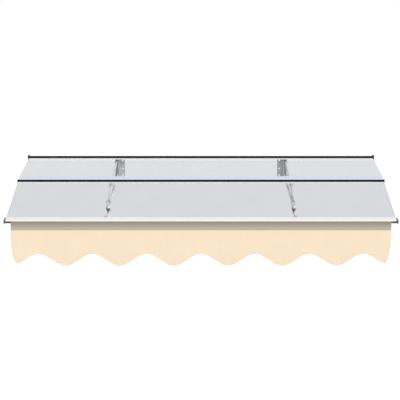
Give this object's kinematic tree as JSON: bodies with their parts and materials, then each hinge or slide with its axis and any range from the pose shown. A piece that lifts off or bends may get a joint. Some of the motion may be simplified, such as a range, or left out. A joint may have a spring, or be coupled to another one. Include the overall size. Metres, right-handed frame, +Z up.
{
  "type": "polycarbonate door canopy",
  "caption": "Sloping clear door canopy with stepped sheets in rails, bracket arms on wall plates and a scalloped fabric valance.",
  "frame": {"origin": "centre of the wall rail's rear face, in the plane of the wall", "axes": "+X along the wall, +Y into the wall, +Z up; the canopy reaches towards -Y"},
  "size_m": [2.0236, 0.9545, 0.4735],
  "materials": {
    "clear_sheet": "clear, lightly smoked polycarbonate",
    "black_rail": "satin black powder coat",
    "silver_rail": "anodised, cool silver",
    "white_rail": "satin off-white",
    "dark_plastic": "moulded, matt dark grey",
    "grey_rubber": "pale gasket, matt",
    "white_paint": "satin white powder coat",
    "grey_steel": "zinc grey",
    "cream_fabric": "plain woven acrylic, cream",
    "taupe_fabric": "plain woven band, taupe"
  },
  "bodies": {
    "root": {"rear_sheet": "clear_sheet", "front_sheet": "clear_sheet", "wall_rail": "black_rail", "wall_rail_cap_left": "black_rail", "wall_rail_cap_right": "black_rail", "mid_rail_nosing": "black_rail", "mid_rail_cap_left": "black_rail", "mid_rail_cap_right": "black_rail", "mid_rail": "silver_rail", "front_rail": "white_rail", "valance_track": "dark_plastic", "front_rail_cap_left": "dark_plastic", "front_rail_cap_right": "dark_plastic", "lock_cone_left": "dark_plastic", "lock_cone_right": "dark_plastic", "wall_rail_gasket": "grey_rubber", "mid_rail_gasket": "grey_rubber", "valance": "cream_fabric", "valance_bead": "cream_fabric", "valance_heading": "taupe_fabric", "upper_arm_left": "white_paint", "upper_arm_right": "white_paint", "lower_arm_left": "white_paint", "lower_arm_right": "white_paint", "knuckle_left": "white_paint", "knuckle_right": "white_paint", "end_rod_left": "white_paint", "end_rod_right": "white_paint", "mid_saddle_left": "white_paint", "mid_saddle_right": "white_paint", "wall_plate_left": "grey_steel", "wall_plate_right": "grey_steel", "upper_pivot_pin_left": "grey_steel", "upper_pivot_pin_right": "grey_steel", "lower_pivot_pin_left": "grey_steel", "lower_pivot_pin_right": "grey_steel", "knuckle_pin_left": "white_paint", "knuckle_pin_right": "white_paint", "saddle_pin_left": "white_paint", "saddle_pin_right": "white_paint", "rail_lug_left": "grey_steel", "rail_lug_right": "grey_steel", "rail_pin_left": "white_paint", "rail_pin_right": "white_paint", "lug_screw_left": "grey_steel", "lug_screw_right": "grey_steel", "wall_cap_screw_left": "grey_steel", "wall_cap_screw_right": "grey_steel", "front_cap_screw_left": "grey_steel", "front_cap_screw_right": "grey_steel", "saddle_screw_left_1": "grey_steel", "saddle_screw_left_2": "grey_steel", "saddle_screw_right_1": "grey_steel", "saddle_screw_right_2": "grey_steel"}
  },
  "joints": []
}
